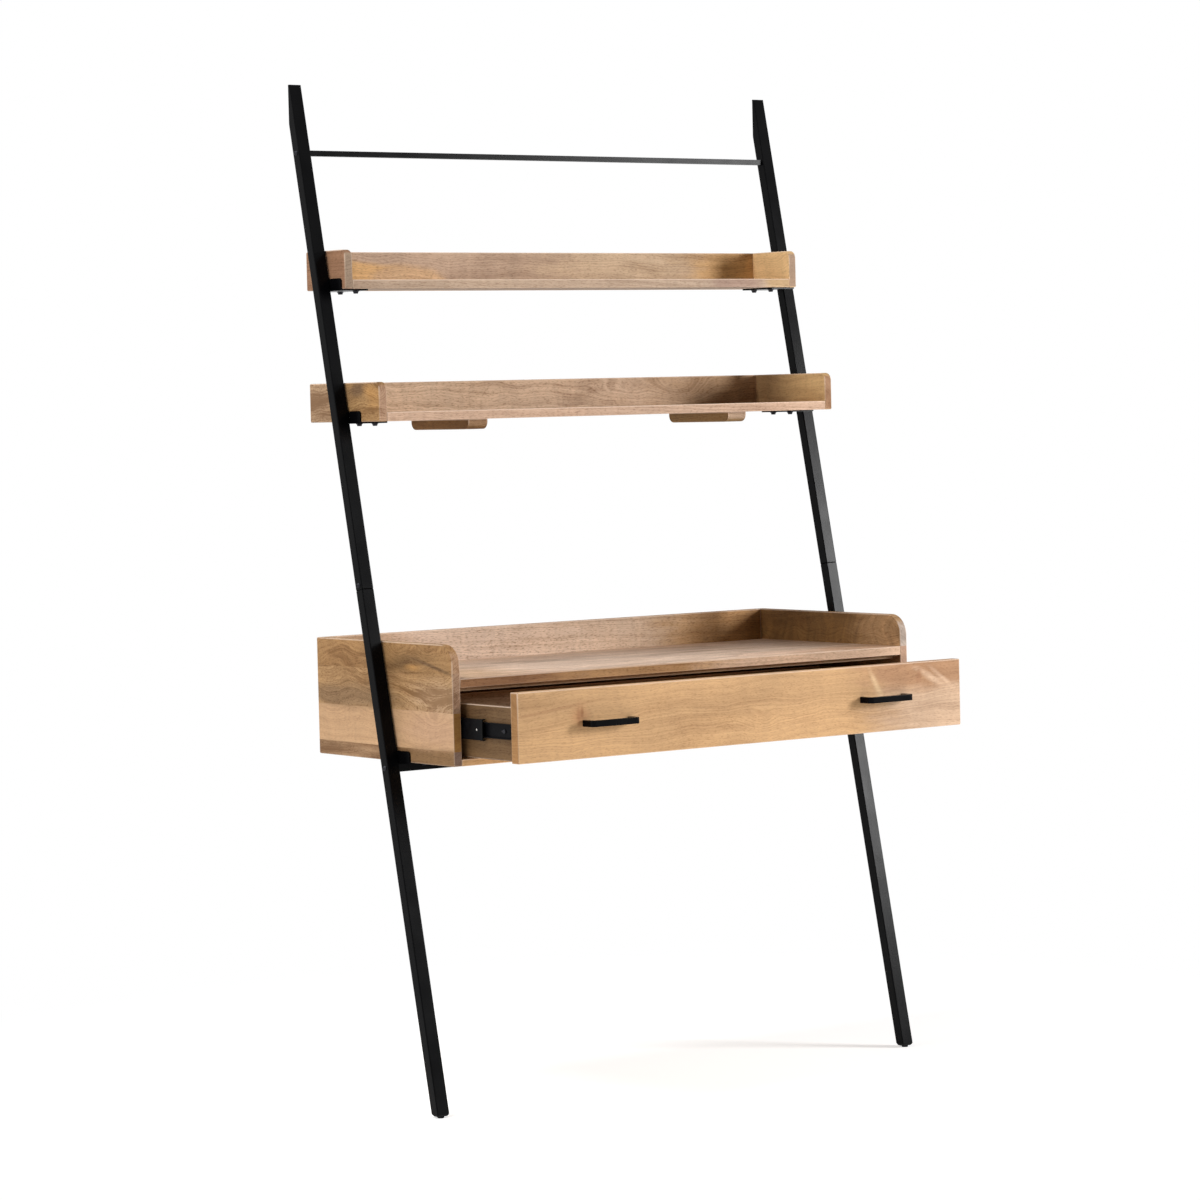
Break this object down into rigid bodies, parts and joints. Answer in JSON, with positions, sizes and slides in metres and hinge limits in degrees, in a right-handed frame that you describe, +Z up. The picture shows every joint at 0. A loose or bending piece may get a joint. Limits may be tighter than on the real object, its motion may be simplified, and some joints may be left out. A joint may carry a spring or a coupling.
{
  "type": "ladder desk",
  "caption": "Leaning ladder desk: black steel tube legs that rest on a wall, wooden tray shelves and a desk box with one wide drawer on telescopic slides.",
  "frame": {"origin": "centre of the bounding box's footprint, on the floor, with the drawer at its stored opening of 165 mm", "axes": "+X to the right for a person at the desk, +Y towards the wall that it leans on, +Z up"},
  "size_m": [1.0856, 0.618, 1.797],
  "materials": {
    "mango_wood": "oiled, satin",
    "drawer_wood": "sanded and sealed",
    "dowel_wood": "plain",
    "black_steel": "matte powder coat",
    "black_fasteners": "black zinc",
    "slide_steel": "black electro-coat",
    "ball_cage_steel": "bright",
    "black_plastic": "moulded"
  },
  "bodies": {
    "frame_and_case": {"upper_shelf_floor": "mango_wood", "upper_shelf_back": "mango_wood", "upper_shelf_left_side": "mango_wood", "upper_shelf_right_side": "mango_wood", "lower_shelf_floor": "mango_wood", "lower_shelf_back": "mango_wood", "lower_shelf_left_side": "mango_wood", "lower_shelf_right_side": "mango_wood", "left_lower_shelf_batten": "mango_wood", "right_lower_shelf_batten": "mango_wood", "desk_left_side": "mango_wood", "desk_right_side": "mango_wood", "desk_writing_board": "mango_wood", "desk_bottom_board": "mango_wood", "desk_back": "mango_wood", "desk_drawer_stop": "mango_wood", "left_lower_leg": "black_steel", "right_lower_leg": "black_steel", "left_upper_leg": "black_steel", "right_upper_leg": "black_steel", "left_leg_connector": "black_steel", "right_leg_connector": "black_steel", "wall_plates": "black_steel", "top_rail": "black_steel", "crossbar": "black_steel", "crossbar_end_plugs": "black_steel", "upper_shelf_brackets": "black_steel", "lower_shelf_brackets": "black_steel", "desk_brackets": "black_steel", "leg_connector_screws": "black_fasteners", "top_rail_bolts": "black_fasteners", "crossbar_bolts": "black_fasteners", "bracket_screws": "black_fasteners", "slide_screws_in_desk": "black_fasteners", "left_leg_end_cap": "black_plastic", "right_leg_end_cap": "black_plastic", "left_slide_cabinet_member": "slide_steel", "right_slide_cabinet_member": "slide_steel", "case_dowels": "dowel_wood"},
    "drawer": {"drawer_front": "mango_wood", "drawer_left_side": "drawer_wood", "drawer_right_side": "drawer_wood", "drawer_back": "drawer_wood", "drawer_bottom_panel": "drawer_wood", "drawer_dowels": "dowel_wood", "left_drawer_handle": "black_steel", "right_drawer_handle": "black_steel", "handle_screws": "black_fasteners", "left_slide_drawer_member": "slide_steel", "right_slide_drawer_member": "slide_steel", "slide_screws_in_drawer": "black_fasteners"},
    "left_middle_member": {"left_slide_middle_member": "slide_steel"},
    "right_middle_member": {"right_slide_middle_member": "slide_steel"},
    "left_outer_cage": {"left_slide_outer_ball_cage": "ball_cage_steel"},
    "right_outer_cage": {"right_slide_outer_ball_cage": "ball_cage_steel"},
    "left_inner_cage": {"left_slide_inner_ball_cage": "ball_cage_steel"},
    "right_inner_cage": {"right_slide_inner_ball_cage": "ball_cage_steel"},
    "left_foot": {"left_levelling_foot": "black_plastic"},
    "right_foot": {"right_levelling_foot": "black_plastic"}
  },
  "joints": [
    {"name": "drawer_slide", "type": "slide", "parent": "frame_and_case", "child": "drawer", "axis": [0, -1, 0], "range_m": [-0.165, 0.185]},
    {"name": "left_middle_member_slide", "type": "slide", "parent": "frame_and_case", "child": "left_middle_member", "axis": [0, -1, 0], "range_m": [-0.0825, 0.0925]},
    {"name": "left_outer_cage_slide", "type": "slide", "parent": "frame_and_case", "child": "left_outer_cage", "axis": [0, -1, 0], "range_m": [-0.04125, 0.04625]},
    {"name": "left_inner_cage_slide", "type": "slide", "parent": "frame_and_case", "child": "left_inner_cage", "axis": [0, -1, 0], "range_m": [-0.12375, 0.13875]},
    {"name": "right_middle_member_slide", "type": "slide", "parent": "frame_and_case", "child": "right_middle_member", "axis": [0, -1, 0], "range_m": [-0.0825, 0.0925]},
    {"name": "right_outer_cage_slide", "type": "slide", "parent": "frame_and_case", "child": "right_outer_cage", "axis": [0, -1, 0], "range_m": [-0.04125, 0.04625]},
    {"name": "right_inner_cage_slide", "type": "slide", "parent": "frame_and_case", "child": "right_inner_cage", "axis": [0, -1, 0], "range_m": [-0.12375, 0.13875]},
    {"name": "left_foot_turn", "type": "hinge", "parent": "frame_and_case", "child": "left_foot", "pos_m": [-0.5275, -0.06937, 0], "axis": [0, 0, 1], "range_deg": [-2880, 720]},
    {"name": "right_foot_turn", "type": "hinge", "parent": "frame_and_case", "child": "right_foot", "pos_m": [0.5275, -0.06937, 0], "axis": [0, 0, 1], "range_deg": [-2880, 720]}
  ],
  "couplings": [
    {"joint": "left_middle_member_slide", "follows": "drawer_slide", "ratio": 0.5},
    {"joint": "left_outer_cage_slide", "follows": "drawer_slide", "ratio": 0.25},
    {"joint": "left_inner_cage_slide", "follows": "drawer_slide", "ratio": 0.75},
    {"joint": "right_middle_member_slide", "follows": "drawer_slide", "ratio": 0.5},
    {"joint": "right_outer_cage_slide", "follows": "drawer_slide", "ratio": 0.25},
    {"joint": "right_inner_cage_slide", "follows": "drawer_slide", "ratio": 0.75}
  ]
}
